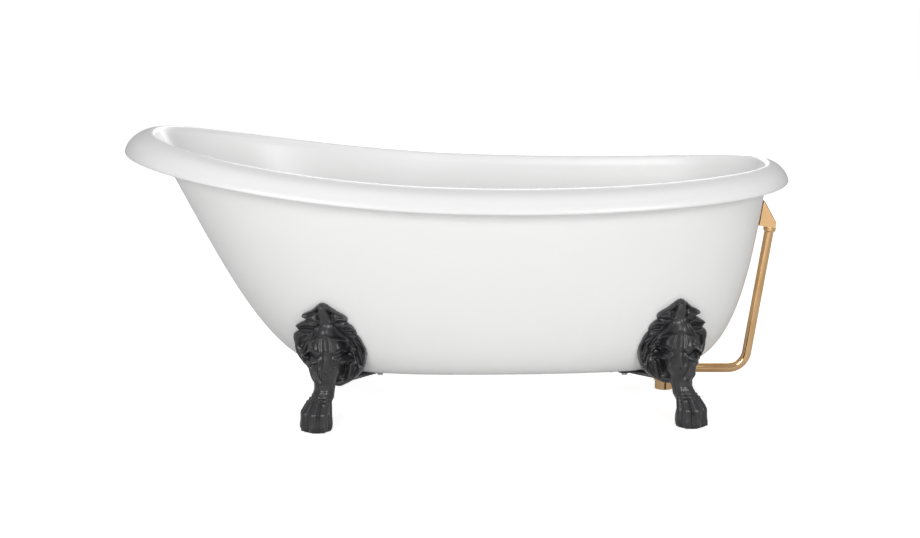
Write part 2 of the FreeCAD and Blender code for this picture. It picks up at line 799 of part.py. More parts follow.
def insert(x, y):
    sleeve = upright(size("insert_diameter") / 2, BOARD_BOTTOM, INSERT_TOP, x, y)
    return sleeve.cut(upright(size("bolt_diameter") / 2, BOARD_BOTTOM - 1, INSERT_TOP + 1, x, y))


shaped("foot_bolts", Part.makeCompound([foot_bolt(x, y) for x, y in bolt_points()]))
shaped("foot_washers", Part.makeCompound([washer(x, y) for x, y in bolt_points()]))
shaped("board_inserts", Part.makeCompound([insert(x, y) for x, y in bolt_points()]))


# ---------------------------------------------------------------- levelling screws

def leveller():
    """A hexagonal pad on a threaded rod, drawn up into the paw, at the foot's toe frame."""
    bottom = size("leveller_recess")
    shoulder = bottom + size("leveller_pad_thickness")
    place = -size("leveller_setback")
    pad = hexagon(size("leveller_pad_diameter") * cos(pi / 6), bottom, shoulder, place, 0)
    top = bottom + size("leveller_length")
    return pad.fuse(upright(size("leveller_diameter") / 2, shoulder, top, place))


for label, toe, facing in foot_plan():
    part = shaped(f"leveller_{label}", leveller())
    part.Placement = foot_placement(toe, facing)


# ---------------------------------------------------------------- waste and plug

AT_WASTE = Placement(Vector(WASTE_X, 0, FLOOR), Rotation())
seal = cell("waste_seal_thickness")
rim = seal + cell("flange_thickness")
bore = cell("stem_bore") / 2
ring_body("waste_seal", cell("waste_hole_diameter") / 2, cell("waste_seal_diameter") / 2,
          0, seal, AT_WASTE)
turned("waste_flange", [
    (bore, -cell("stem_length")),
    (cell("stem_diameter") / 2, -cell("stem_length")),
    (cell("stem_diameter") / 2, seal),
    (cell("flange_diameter") / 2, seal),
    (cell("flange_diameter") / 2 - cell("flange_bevel"), rim),
    (bore + cell("mouth_bevel"), rim),
    (bore, rim - cell("mouth_bevel")),
], AT_WASTE)

SHOE_TOP = BOTTOM - size("under_seal_thickness")
AT_SHOE = Placement(Vector(WASTE_X, 0, SHOE_TOP), Rotation())
ring_body("under_seal", cell("waste_hole_diameter") / 2, cell("shoe_diameter") / 2,
          0, cell("under_seal_thickness"), AT_SHOE)
PORT_Z = SHOE_TOP - size("shoe_port_drop")
PORT_END = WASTE_X + size("shoe_diameter") / 2 + size("port_length")
PIPE_END = PORT_END - size("port_socket_depth")


def level(radius, start, end, z):
    """A cylinder along +X."""
    return Part.makeCylinder(radius, end - start, Vector(start, 0, z), Vector(1, 0, 0))


def waste_shoe():
    """The tee under the bath: a socket for the flange's stem, a side port and an outlet."""
    bottom = SHOE_TOP - size("shoe_length")
    end = bottom - size("outlet_length")
    clearance = size("fit_clearance") / 2
    shape = upright(size("shoe_diameter") / 2, bottom, SHOE_TOP, WASTE_X)
    shape = shape.fuse(upright(size("outlet_diameter") / 2, end, bottom, WASTE_X))
    shape = shape.fuse(level(size("port_diameter") / 2, WASTE_X, PORT_END, PORT_Z))
    socket = upright(size("stem_diameter") / 2 + clearance,
                     SHOE_TOP - size("shoe_socket_depth"), SHOE_TOP + 1, WASTE_X)
    chamber = upright(size("outlet_bore") / 2, end - 1, SHOE_TOP, WASTE_X)
    pipe_socket = level(size("pipe_diameter") / 2 + clearance, PIPE_END, PORT_END + 1, PORT_Z)
    passage = level(size("pipe_diameter") / 2 - size("pipe_wall"), WASTE_X, PORT_END, PORT_Z)
    return shape.cut(socket).cut(chamber).cut(pipe_socket).cut(passage)


shaped("waste_shoe", waste_shoe())


def strainer_cross():
    """Two crossed ribs with a boss, set in the flange's bore, that hold the plug's cartridge."""
    top = FLOOR - size("cross_drop")
    bottom = top - size("cross_thickness")
    reach = size("stem_bore") / 2 - size("fit_clearance") / 2
    half = size("rib_width") / 2
    depth = top - bottom
    ribs = Part.makeBox(2 * reach, 2 * half, depth, Vector(WASTE_X - reach, -half, bottom))
    ribs = ribs.fuse(Part.makeBox(2 * half, 2 * reach, depth, Vector(WASTE_X - half, -reach, bottom)))
    ribs = ribs.common(upright(reach, bottom, top, WASTE_X))
    boss = upright(size("boss_diameter") / 2, bottom, top, WASTE_X)
    hole = size("cartridge_diameter") / 2 + size("fit_clearance") / 2
    return ribs.fuse(boss).cut(upright(hole, bottom - 1, top + 1, WASTE_X))


shaped("strainer_cross", strainer_cross())
ring_body("plug_cartridge", (cell("plug_stem_diameter") + cell("fit_clearance")) / 2,
          cell("cartridge_diameter") / 2, -cell("cartridge_drop") - cell("cartridge_length"),
          -cell("cartridge_drop"), AT_WASTE)

lifted = rim + cell("plug_seat_gap") + cell("plug_travel")
cap_edge = lifted + cell("plug_thickness")
turned("plug_cap", [
    (0, lifted), (cell("plug_diameter") / 2, lifted), (cell("plug_diameter") / 2, lifted + 1.5),
    (cell("plug_diameter") / 2 - 2, lifted + 3),
    (cell("plug_diameter") / 4, cap_edge + cell("plug_dome") * 0.7),
    (4, cap_edge + cell("plug_dome")), (0, cap_edge + cell("plug_dome")),
], AT_WASTE)
rod_body("plug_stem", cell("plug_stem_diameter") / 2, lifted - cell("plug_stem_length"), lifted,
         AT_WASTE)
ring_body("plug_seal", (cell("plug_stem_diameter") + cell("fit_clearance")) / 2,
          cell("plug_seal_diameter") / 2, lifted - cell("plug_seal_thickness"), lifted, AT_WASTE)


# ---------------------------------------------------------------- overflow

# The overflow's own frame: Z outwards through the foot wall, X up along the wall.
UPWARD = Rotation(ALONG, Vector(0, -1, 0), OUTWARD, "ZXY")
AT_OVERFLOW = Placement(OVERFLOW, UPWARD)
HOOD_BACK = size("gasket_seat_gap") + size("gasket_thickness")
INNER_GAP = max(liner_stands_in(size("inner_gasket_diameter") / 2),
                liner_stands_in(size("rosette_diameter") / 2) - size("inner_gasket_thickness"))
INNER_FACE = -WALL_DEPTH - INNER_GAP - size("inner_seat_clearance")
ROSETTE_BACK = INNER_FACE - size("inner_gasket_thickness")
AT_HOOD = Placement(OVERFLOW + OUTWARD * HOOD_BACK, UPWARD)
AT_ROSETTE = Placement(OVERFLOW + OUTWARD * ROSETTE_BACK, UPWARD)


def block(x0, x1, half_width, z0, z1):
    """A box in the overflow's own frame."""
    return Part.makeBox(x1 - x0, 2 * half_width, z1 - z0, Vector(x0, -half_width, z0))


def hood_gasket():
    half = size("hood_width") / 2
    plate = block(-size("hood_bottom"), size("hood_top"), half,
                  -size("gasket_thickness"), 0)
    return plate.cut(Part.makeCylinder(size("overflow_hole_diameter") / 2,
                                       3 * size("gasket_thickness"),
                                       Vector(0, 0, -2 * size("gasket_thickness"))))


gasket = shaped("hood_gasket", hood_gasket())
gasket.Placement = AT_HOOD


def wedge(margin, half_width, back):
    """The hood's side outline, drawn in by a margin, as a prism across the bath."""
    outline = [
        (-size("hood_bottom") + margin, back),
        (size("hood_top") - margin, back),
        (size("hood_top") - margin, max(back, size("hood_top_depth") - margin)),
        (-size("hood_apex") - margin / 2, size("hood_depth") - margin),
        (-size("hood_bottom") + margin, size("hood_depth") - margin),
    ]
    corners = [Vector(x, -half_width, z) for x, z in outline]
    face = Part.Face(Part.makePolygon(corners + corners[:1]))
    return face.extrude(Vector(0, 2 * half_width, 0))


def overflow_hood():
    """A hollow wedge, open at the back, with a threaded spigot below for the pipe."""
    wall = size("hood_wall")
    half = size("hood_width") / 2
    outside = wedge(0, half, 0)
    rounded = [e for e in outside.Edges
               if e.Length > 2 * half - 1 and min(v.Point.z for v in e.Vertexes) > 1]
    outside = outside.makeFillet(size("hood_edge_round"), rounded)
    down = Vector(-1, 0, 0)
    mouth = Vector(-size("hood_bottom"), 0, size("pipe_offset") - HOOD_BACK)
    spigot = Part.makeCylinder(size("spigot_diameter") / 2, size("spigot_length"), mouth, down)
    shape = outside.cut(wedge(wall, half - wall, -1)).fuse(spigot)
    reach = size("spigot_length") + 2 * wall
    bore_size = (size("pipe_diameter") + size("fit_clearance")) / 2
    return shape.cut(Part.makeCylinder(bore_size, reach + wall, mouth - down * 2 * wall, down))


hood = shaped("overflow_hood", overflow_hood())
hood.Placement = AT_HOOD

turned("overflow_sleeve", [
    (cell("sleeve_bore") / 2, ROSETTE_BACK), (cell("sleeve_diameter") / 2, ROSETTE_BACK),
    (cell("sleeve_diameter") / 2, HOOD_BACK), (cell("sleeve_bore") / 2, HOOD_BACK),
], AT_OVERFLOW)
ring_body("rosette_gasket", cell("overflow_hole_diameter") / 2,
          cell("inner_gasket_diameter") / 2, 0, cell("inner_gasket_thickness"), AT_ROSETTE)


def rosette():
    """The pierced plate over the overflow inside the bath."""
    radius = size("rosette_diameter") / 2
    depth = size("rosette_thickness")
    bevel = size("rosette_bevel")
    plate = Part.makeCylinder(radius, depth - bevel, Vector(0, 0, 0), Vector(0, 0, -1))
    plate = plate.fuse(Part.makeCone(radius, radius - bevel, bevel,
                                     Vector(0, 0, bevel - depth), Vector(0, 0, -1)))
    slot = size("slot_width") / 2
    for k in range(6):
        cut = Part.makeBox(size("slot_outer") - size("slot_inner") + 2 * slot, 2 * slot, 3 * depth,
                           Vector(size("slot_inner") - slot, -slot, -2 * depth))
        plate = plate.cut(cut.rotated(Vector(0, 0, 0), Vector(0, 0, 1), 30 + 60 * k))
    hole = size("screw_diameter") / 2 + size("fit_clearance")
    return plate.cut(Part.makeCylinder(hole, 3 * depth, Vector(0, 0, -2 * depth)))


plate = shaped("overflow_rosette", rosette())
plate.Placement = AT_ROSETTE
head_base = -cell("rosette_thickness")
turned("overflow_screw", [
    (0, head_base - cell("screw_head_height")),
    (cell("screw_head_diameter") / 2, head_base - cell("screw_head_height")),
    (cell("screw_head_diameter") / 2, head_base),
    (cell("screw_diameter") / 2, head_base),
    (cell("screw_diameter") / 2, head_base + cell("screw_length")),
    (0, head_base + cell("screw_length")),
], AT_ROSETTE)

MOUTH = OVERFLOW + OUTWARD * size("pipe_offset") - ALONG * size("hood_bottom")
AT_MOUTH = Placement(MOUTH, Rotation(Vector(0, 0, 1), -ALONG))


def union_nut(label, placement):
    """A round union nut whose lip bears on the pipe; Z runs from its mouth to its lip."""
    start = cell("spigot_length") + cell("nut_lip") - cell("nut_length")
    end = cell("spigot_length") + cell("nut_lip")
    thread = (cell("spigot_diameter") + cell("fit_clearance")) / 2
    hole = (cell("pipe_diameter") + cell("fit_clearance")) / 2
    outside = cell("nut_diameter") / 2
    turned(label, [
        (thread, start), (outside, start), (outside, end - cell("nut_chamfer")),
        (outside - cell("nut_chamfer"), end), (hole, end),
        (hole, end - cell("nut_lip")), (thread, end - cell("nut_lip")),
    ], placement)


union_nut("pipe_nut_upper", AT_MOUTH)


def overflow_pipe():
    """Down from the hood along the wall, round one bend and level to the waste shoe."""
    start = MOUTH - ALONG * size("port_length") * 0.2
    corner = start - ALONG * ((start.z - PORT_Z) / ALONG.z)
    end = Vector(PIPE_END, 0, PORT_Z)
    turn = (start - corner).getAngle(end - corner)
    trim = size("pipe_bend_radius") / tan(turn / 2)
    first = corner + (start - corner).normalize() * trim
    last = corner + (end - corner).normalize() * trim
    inward = ((start - corner).normalize() + (end - corner).normalize()).normalize()
    centre = corner + inward * (size("pipe_bend_radius") / sin(turn / 2))
    middle = centre - inward * size("pipe_bend_radius")
    path = Part.Wire([Part.LineSegment(start, first).toShape(),
                      Part.Arc(first, middle, last).toShape(),
                      Part.LineSegment(last, end).toShape()])
    radius = size("pipe_diameter") / 2
    tubes = []
    for r in (radius, radius - size("pipe_wall")):
        section = Part.Wire([Part.Circle(start, ALONG, r).toShape()])
        tubes.append(path.makePipeShell([section], True, False))
    return tubes[0].cut(tubes[1])


shaped("overflow_pipe", overflow_pipe())
AT_PORT = Placement(Vector(PORT_END - size("spigot_length"), 0, PORT_Z),
                    Rotation(Vector(0, 0, 1), Vector(1, 0, 0)))
lower_lip = cell("spigot_length") + cell("nut_lip")
ring_body("pipe_nut_lower", (cell("pipe_diameter") + cell("fit_clearance")) / 2,
          cell("nut_diameter") / 2, cell("spigot_length"), lower_lip + cell("nut_lip") * 2, AT_PORT)

# ---------------------------------------------------------------- checks and output

doc.recompute()
for item in doc.Objects:
    if {"Invalid", "Error"} & set(item.State):
        raise RuntimeError(f"{item.Name} failed: {item.State}")
for part in PARTS:
    if part.Shape.isNull() or not part.Shape.isValid():
        raise RuntimeError(f"{part.Label} has no valid shape")
os.makedirs("parts", exist_ok=True)
for part in PARTS:
    part.Shape.exportStep(f"parts/{part.Label}.step")
    print(part.Label, len(part.Shape.Solids), round(part.Shape.Volume / 1000, 2))
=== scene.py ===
import json
import math
import bpy
import numpy as np
from mathutils import Matrix, Vector


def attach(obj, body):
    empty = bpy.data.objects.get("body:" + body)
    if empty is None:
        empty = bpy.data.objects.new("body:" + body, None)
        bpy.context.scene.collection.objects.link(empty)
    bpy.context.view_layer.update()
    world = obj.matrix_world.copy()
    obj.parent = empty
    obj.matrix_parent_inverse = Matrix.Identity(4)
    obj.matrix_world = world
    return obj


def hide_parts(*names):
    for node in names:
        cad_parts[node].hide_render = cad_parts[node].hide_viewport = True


# Free-standing slipper bath on lion-paw feet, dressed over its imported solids.
# Metres, +Z up, floor at z = 0, -Y towards the camera, +X the waste end.

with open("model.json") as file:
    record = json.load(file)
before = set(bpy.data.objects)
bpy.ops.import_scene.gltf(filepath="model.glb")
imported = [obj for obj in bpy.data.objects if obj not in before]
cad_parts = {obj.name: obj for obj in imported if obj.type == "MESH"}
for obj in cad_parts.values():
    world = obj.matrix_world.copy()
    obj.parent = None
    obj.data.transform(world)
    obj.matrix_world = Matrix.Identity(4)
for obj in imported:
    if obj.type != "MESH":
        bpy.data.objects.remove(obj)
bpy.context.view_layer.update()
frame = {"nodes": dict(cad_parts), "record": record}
NODES = frame["nodes"]
MM = 0.001
COLUMNS = 264


# ------------------------------------------------------------------ small helpers

def new_object(name, vertices, faces, smooth=True):
    mesh = bpy.data.meshes.new(name)
    mesh.from_pydata([tuple(v) for v in vertices], [], [tuple(f) for f in faces])
    mesh.validate()
    mesh.update()
    if smooth:
        mesh.polygons.foreach_set("use_smooth", [True] * len(mesh.polygons))
    obj = bpy.data.objects.new(name, mesh)
    bpy.context.scene.collection.objects.link(obj)
    return obj


def applied(obj):
    """The object's modifiers made into its mesh."""
    graph = bpy.context.evaluated_depsgraph_get()
    graph.update()
    mesh = bpy.data.meshes.new_from_object(obj.evaluated_get(graph))
    obj.modifiers.clear()
    obj.data = mesh
    return obj


def rings_mesh(name, rings):
    """A closed skin over rings with equal counts of points, in millimetres."""
    count = len(rings[0])
    vertices = np.concatenate(rings) * MM
    faces = []
    for i in range(len(rings) - 1):
        for k in range(count):
            n = (k + 1) % count
            faces.append((i * count + k, i * count + n, (i + 1) * count + n, (i + 1) * count + k))
    faces.append(tuple(range(count))[::-1])
    last = (len(rings) - 1) * count
    faces.append(tuple(last + k for k in range(count)))
    return new_object(name, vertices, faces)


# ------------------------------------------------------------------ materials

class Nodes:
    """A short way to wire one material's nodes."""

    def __init__(self, name):
        self.material = bpy.data.materials.new(name)
        self.material.use_nodes = True
        self.tree = self.material.node_tree
        self.shader = self.tree.nodes["Principled BSDF"]

    def add(self, kind, **values):
        node = self.tree.nodes.new(kind)
        for key, value in values.items():
            if key in node.inputs:
                node.inputs[key].default_value = value
            else:
                setattr(node, key, value)
        return node

    def link(self, source, target):
        self.tree.links.new(source, target)

    def set(self, **values):
        for key, value in values.items():
            self.shader.inputs[key.replace("_", " ")].default_value = value

    def place(self, scale=(1, 1, 1)):
        coordinates = self.add("ShaderNodeTexCoord")
        mapping = self.add("ShaderNodeMapping", Scale=scale)
        self.link(coordinates.outputs["Object"], mapping.inputs["Vector"])
        return mapping.outputs["Vector"]

    def noise(self, scale, detail=3.0, roughness=0.5, where=None, distortion=0.0):
        node = self.add("ShaderNodeTexNoise", Scale=scale, Detail=detail,
                        Roughness=roughness, Distortion=distortion)
        self.link(where or self.place(), node.inputs["Vector"])
        return node.outputs["Fac"]

    def ramp(self, source, stops):
        node = self.add("ShaderNodeValToRGB")
        for element, (place, colour) in zip(node.color_ramp.elements, stops):
            element.position = place
            element.color = (*colour, 1)
        self.link(source, node.inputs["Fac"])
        return node.outputs["Color"]

    def spread(self, source, low, high):
        node = self.add("ShaderNodeMapRange")
        node.inputs["To Min"].default_value = low
        node.inputs["To Max"].default_value = high
        self.link(source, node.inputs["Value"])
        return node.outputs["Result"]

    def bump(self, source, strength, distance=0.001, below=None):
        node = self.add("ShaderNodeBump", Strength=strength, Distance=distance)
        self.link(source, node.inputs["Height"])
        if below is not None:
            self.link(below, node.inputs["Normal"])
        return node.outputs["Normal"]

    def wire(self, **sources):
        for key, source in sources.items():
            self.link(source, self.shader.inputs[key.replace("_", " ")])


def grey(value):
    return (value, value, value)


def acrylic(name, tint):
    m = Nodes(name)
    m.set(Coat_Weight=0.3, Coat_Roughness=0.22, IOR=1.49)
    slow = m.noise(2.2, 2.0)
    m.wire(Base_Color=m.ramp(slow, [(0.35, [c * 0.985 for c in tint]), (0.65, tint)]),
           Roughness=m.spread(m.noise(9.0, 4.0), 0.28, 0.36),
           Normal=m.bump(m.noise(7.0, 1.0), 0.02, 0.002))
    return m.material


def iron(name):
    m = Nodes(name)
    m.set(Metallic=0.3, Coat_Weight=0.7, Coat_Roughness=0.22)
    grain = m.noise(900.0, 4.0, 0.6)
    cast = m.noise(120.0, 3.0, 0.6)
    patch = m.noise(28.0, 4.0, 0.6)
    m.wire(Base_Color=m.ramp(patch, [(0.3, (0.022, 0.022, 0.024)), (0.7, (0.036, 0.036, 0.039))]),
           Roughness=m.spread(cast, 0.32, 0.44),
           Normal=m.bump(grain, 0.08, 0.0003, m.bump(cast, 0.14, 0.0007)))
    return m.material


def brass(name):
    m = Nodes(name)
    m.set(Metallic=1.0)
    streak = m.noise(60.0, 4.0, 0.55)
    patch = m.noise(11.0, 3.0, 0.5)
    m.wire(Base_Color=m.ramp(patch, [(0.3, (0.80, 0.49, 0.23)), (0.7, (0.89, 0.59, 0.31))]),
           Roughness=m.spread(streak, 0.08, 0.14),
           Normal=m.bump(m.noise(45.0, 2.0), 0.03, 0.0006))
    return m.material


def steel(name):
    m = Nodes(name)
    m.set(Metallic=1.0)
    shades = [(0.3, (0.50, 0.51, 0.53)), (0.7, (0.66, 0.67, 0.68))]
    m.wire(Base_Color=m.ramp(m.noise(80.0), shades),
           Roughness=m.spread(m.noise(300.0, 4.0), 0.26, 0.42),
           Normal=m.bump(m.noise(500.0, 3.0), 0.1, 0.0002))
    return m.material


def rubber(name):
    m = Nodes(name)
    m.set(IOR=1.5)
    m.wire(Base_Color=m.ramp(m.noise(60.0), [(0.3, grey(0.012)), (0.7, grey(0.022))]),
           Roughness=m.spread(m.noise(400.0), 0.6, 0.78),
           Normal=m.bump(m.noise(700.0), 0.2, 0.0002))
    return m.material


def plywood(name):
    m = Nodes(name)
    where = m.place((1.5, 14.0, 90.0))
    fibre = m.noise(6.0, 6.0, 0.65, where, 0.6)
    m.wire(Base_Color=m.ramp(fibre, [(0.25, (0.34, 0.21, 0.11)), (0.75, (0.58, 0.41, 0.24))]),
           Roughness=m.spread(fibre, 0.55, 0.75), Normal=m.bump(fibre, 0.3, 0.0005))
    return m.material


def moulded(name):
    m = Nodes(name)
    m.wire(Base_Color=m.ramp(m.noise(70.0), [(0.3, grey(0.70)), (0.7, grey(0.78))]),
           Roughness=m.spread(m.noise(250.0), 0.42, 0.55),
           Normal=m.bump(m.noise(600.0), 0.1, 0.0002))
    return m.material


LOOKS = {
    "acrylic_liner": acrylic("acrylic_liner", (0.88, 0.88, 0.878)),
    "acrylic_skin": acrylic("acrylic_skin", (0.88, 0.878, 0.874)),
    "foot_iron": iron("foot_iron"),
    "polished_brass": brass("polished_brass"),
    "zinc_steel": steel("zinc_steel"),
    "black_rubber": rubber("black_rubber"),
    "plywood": plywood("plywood"),
    "cartridge_plastic": moulded("cartridge_plastic"),
}
for entry in frame["record"]["subparts"]:
    data = NODES[entry["node"]].data
    data.materials.clear()
    data.materials.append(LOOKS[entry["material_slot"]])


def dressed(obj, material_slot, body, *nodes):
    """Gives a piece its material and its body, and hides the nodes it stands for."""
    obj.data.materials.clear()
    obj.data.materials.append(LOOKS[material_slot])
    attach(obj, body)
    if nodes:
        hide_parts(*nodes)
    return obj


# ------------------------------------------------------------------ bath walls

# Three places along the rim: head, side and foot.  Sizes as in the solids.
HEAD, SIDE, FOOT = 0, 1, 2
REACH = (807.5, 319.0, 820.5)
HEIGHT = (744.0, 640.0, 661.0)
FLARE = (63.0, 77.0, 50.0)
DROP = (54.0, 56.0, 49.0)
CROWN_WIDTH = (18.5, 12.0, 12.5)
CROWN_HEIGHT = 9.0
CROWN_START = 14
LIP = 6.0
THICK = 6.0
SKIN_THICK = 4.0
FULLNESS = 250.0
RIM_SQUARE, FLOOR_SQUARE = (2.41, 2.65), (2.3, 2.5)
RIM_MIDDLE, FLOOR_MIDDLE = -69.5, 60.0
RIM_TAPER, FLOOR_TAPER = 35.0, 12.0


def crown(place, angle):
    a = math.radians(angle)
    return (-CROWN_WIDTH[place] * math.cos(a), CROWN_HEIGHT * (1 - math.sin(a)))


LINER = {"lean": (32.0, 6.0, 10.0), "reach": (330.0, 160.0, 590.0),
         "round": (165.0, 100.0, 120.0), "floor": 153.0,
         "start": [crown(p, CROWN_START) for p in (HEAD, SIDE, FOOT)]}
SKIN = {"lean": (30.7, 3.0, 8.2), "reach": (347.5, 160.0, 585.0),
        "round": (176.0, 105.0, 165.0), "floor": 121.0, "start": [(0.0, 0.0)] * 3}


def cubic(points, t):
    weights = ((1 - t) ** 3, 3 * (1 - t) ** 2 * t, 3 * (1 - t) * t * t, t ** 3)
    slopes = (-3 * (1 - t) ** 2, 3 * (1 - t) * (1 - 3 * t), 3 * t * (2 - 3 * t), 3 * t * t)
    place = [sum(w * p[i] for w, p in zip(weights, points)) for i in (0, 1)]
    slope = [sum(w * p[i] for w, p in zip(slopes, points)) for i in (0, 1)]
    return place, slope


def beside(place, slope, offset):
    length = math.hypot(*slope)
    return place[0] - slope[1] / length * offset, place[1] + slope[0] / length * offset


def between(places, u):
    head, side, foot = places
    return side + (foot - head) / 2 * u + ((foot + head) / 2 - side) * u * u


def oval(angles, reach, heights, square, middle, taper):
    c, s = np.cos(angles), np.sin(angles)
    exponent = np.where(c < 0, 2 / square[0], 2 / square[1])
    u = np.sign(c) * np.abs(c) ** exponent
    v = np.sign(s) * np.abs(s) ** exponent
    half = np.where(u > 0, reach[FOOT] - middle, reach[HEAD] + middle)
    width = (reach[SIDE] - taper * u) * v
    return np.stack([middle + u * half, width, between(heights, u)], axis=1)


def ridge(angles):
    return oval(angles, REACH, HEIGHT, RIM_SQUARE, RIM_MIDDLE, RIM_TAPER)


def ring_angles(count):
    """Angles that share out the ridge's length and its turning evenly."""
    steps = 2880
    fine = 2 * np.pi * np.arange(steps + 1) / steps
    points = ridge(fine)[:, :2]
    legs = np.diff(points, axis=0)
    run = np.concatenate([[0], np.cumsum(np.hypot(*legs.T))])
    heading = np.unwrap(np.arctan2(legs[:, 1], legs[:, 0]))
    turning = np.concatenate([[0], np.cumsum(np.abs(np.diff(heading, prepend=heading[0])))])
    share = run / run[-1] / 2 + turning / turning[-1] / 2
    return np.interp(np.arange(count) / count, share, fine)


ANGLES = ring_angles(COLUMNS)


def wall_point(wall, place, t, offset=0.0):
    out, down = wall["start"][place]
    start = (REACH[place] + out, HEIGHT[place] - down)
    lean = math.radians(wall["lean"][place])
    land = (wall["reach"][place], wall["floor"])
    curve = (start, (start[0] - FULLNESS * math.sin(lean), start[1] - FULLNESS * math.cos(lean)),
             (land[0] + wall["round"][place], land[1]), land)
    return beside(*cubic(curve, t), offset)


def wall_ring(wall, t, offset=0.0, angles=None):
    points = [wall_point(wall, place, t, offset) for place in (HEAD, SIDE, FOOT)]
    square = [r + (f - r) * t for r, f in zip(RIM_SQUARE, FLOOR_SQUARE)]
    middle = RIM_MIDDLE + (FLOOR_MIDDLE - RIM_MIDDLE) * t
    taper = RIM_TAPER + (FLOOR_TAPER - RIM_TAPER) * t
    return oval(ANGLES if angles is None else angles, [p[0] for p in points],
                [p[1] for p in points], square, middle, taper)


def rim_ring(profile):
    step = 1e-3
    out = [profile(p)[0] for p in (HEAD, SIDE, FOOT)]
    down = [profile(p)[1] for p in (HEAD, SIDE, FOOT)]
    along = ridge(ANGLES + step) - ridge(ANGLES - step)
    normal = np.stack([along[:, 1], -along[:, 0]], axis=1)
    normal /= np.linalg.norm(normal, axis=1)[:, None]
    share = normal[:, 0] ** 2
    end_out = np.where(normal[:, 0] > 0, out[FOOT], out[HEAD])
    end_down = np.where(normal[:, 0] > 0, down[FOOT], down[HEAD])
    move = out[SIDE] + (end_out - out[SIDE]) * share
    fall = down[SIDE] + (end_down - down[SIDE]) * share
    points = ridge(ANGLES)
    points[:, :2] += normal * move[:, None]
    points[:, 2] -= fall
    return points


def band(place, t, inset=0.0):
    flare, drop = FLARE[place], DROP[place]
    curve = ((0, 0), (0.5 * flare, 0.06 * drop), (0.93 * flare, 0.42 * drop), (flare, drop - LIP))
    return beside(*cubic(curve, t), inset)


def lip(place, angle):
    a = math.radians(angle)
    return FLARE[place] - LIP + LIP * math.cos(a), DROP[place] - LIP + LIP * math.sin(a)


def steps(start, end, count):
    return [start + (end - start) * i / count for i in range(count + 1)]


def round_cutter(name, x, z, bottom, top, radius, tilt=None):
    """A round cutter, upright or tilted onto a direction."""
    ring = [(math.cos(2 * math.pi * k / 64) * radius, math.sin(2 * math.pi * k / 64) * radius)
            for k in range(64)]
    lower = np.array([(a, b, bottom) for a, b in ring])
    upper = np.array([(a, b, top) for a, b in ring])
    cutter = rings_mesh(name, [lower, upper])
    spin = tilt.to_track_quat("Z", "Y").to_matrix() if tilt is not None else Matrix.Identity(3)
    cutter.matrix_world = Matrix.Translation(Vector((x, 0, z)) * MM) @ spin.to_4x4()
    return cutter


OVERFLOW_TILT = math.radians(9.2)
OUTWARD = Vector((math.cos(OVERFLOW_TILT), 0, -math.sin(OVERFLOW_TILT)))
OVERFLOW_Z, OVERFLOW_HOLE = 525.0, 17.0
WASTE_X, WASTE_HOLE = 555.0, 23.0


def wall_reach(wall, height):
    low, high = 0.0, 1.0
    for _ in range(40):
        middle = (low + high) / 2
        if wall_point(wall, FOOT, middle)[1] > height:
            low = middle
        else:
            high = middle
    return wall_point(wall, FOOT, low)[0]


def pierced(obj):
    """The waste and overflow holes cut through a shell."""
    cutters = [round_cutter("cut_waste", WASTE_X, 0.0, 60, 190, WASTE_HOLE),
               round_cutter("cut_overflow", wall_reach(SKIN, OVERFLOW_Z), OVERFLOW_Z,
                            -70, 70, OVERFLOW_HOLE, OUTWARD)]
    for cutter in cutters:
        cut = obj.modifiers.new("hole", "BOOLEAN")
        cut.operation = "DIFFERENCE"
        cut.solver = "EXACT"
        cut.object = cutter
    bpy.context.view_layer.update()
    applied(obj)
    for cutter in cutters:
        bpy.data.objects.remove(cutter)
    return obj


liner = [wall_ring(LINER, t) for t in steps(1, 0, 36)]
liner += [rim_ring(lambda p, a=a: crown(p, a)) for a in steps(CROWN_START, 90, 8)[1:]]
liner += [rim_ring(lambda p, t=t: band(p, t)) for t in steps(0, 1, 18)[1:]]
liner += [rim_ring(lambda p, a=a: lip(p, a)) for a in steps(0, 180, 10)[1:]]
liner += [rim_ring(lambda p, t=t: band(p, t, THICK)) for t in steps(0.95, 0.15, 8)]
liner += [wall_ring(LINER, t, THICK) for t in steps(0.02, 1, 24)]
basin = pierced(rings_mesh("basin_shell", liner[::-1]))
dressed(basin, "acrylic_liner", "bath", "basin")

skin = [wall_ring(SKIN, t) for t in steps(1, 0.022, 40)]
skin += [wall_ring(SKIN, t, -SKIN_THICK) for t in steps(0.022, 1, 24)]
outer = pierced(rings_mesh("skin_shell", skin[::-1]))
dressed(outer, "acrylic_skin", "bath", "outer_skin")


# ------------------------------------------------------------------ lion-paw feet
# Each foot is modelled as a field on a grid in its own frame, in millimetres:
# f runs outwards from the toe point, s across, z up.  A foot's leaf lies on the
# bath's wall, so its relief is drawn over (arc along the wall, height).

FOOT_GAP = 1.0
LEAF_ROOT = 120.0    # height where the leaf begins
LEAF_SCALE = 0.973   # the leaf's drawn heights above its root, to real ones
WALL_HOLD = 205.0    # below this the leaf keeps the wall's outline from this height
LEAF_SHELL = 6.0     # how far the leaf reaches in behind that outline
LEAF_LEAST = 4.0     # no groove leaves the leaf thinner than this
GRID_STEP = 1.9
DRAWING_STEP = 0.5
WALL_FOOT = 122.0    # the wall's outline is read no lower than this
STUD_SETBACK, STUD_POCKET, STUD_POCKET_TOP = 46.0, 15.6, 7.4


def skin_outline(height):
    """The skin's outline at one height, all round the bath."""
    ring = 360
    angles = 2 * np.pi * np.arange(ring) / ring
    if not SKIN_STACK:
        SKIN_STACK.append(np.array([wall_ring(SKIN, t, 0.0, angles) for t in steps(1, 0, 60)]))
    stack = SKIN_STACK[0]
    outline = np.empty((ring, 2))
    for k in range(ring):
        column = stack[:, k]
        outline[k, 0] = np.interp(height, column[:, 2], column[:, 0])
        outline[k, 1] = np.interp(height, column[:, 2], column[:, 1])
    return outline


SKIN_STACK = []


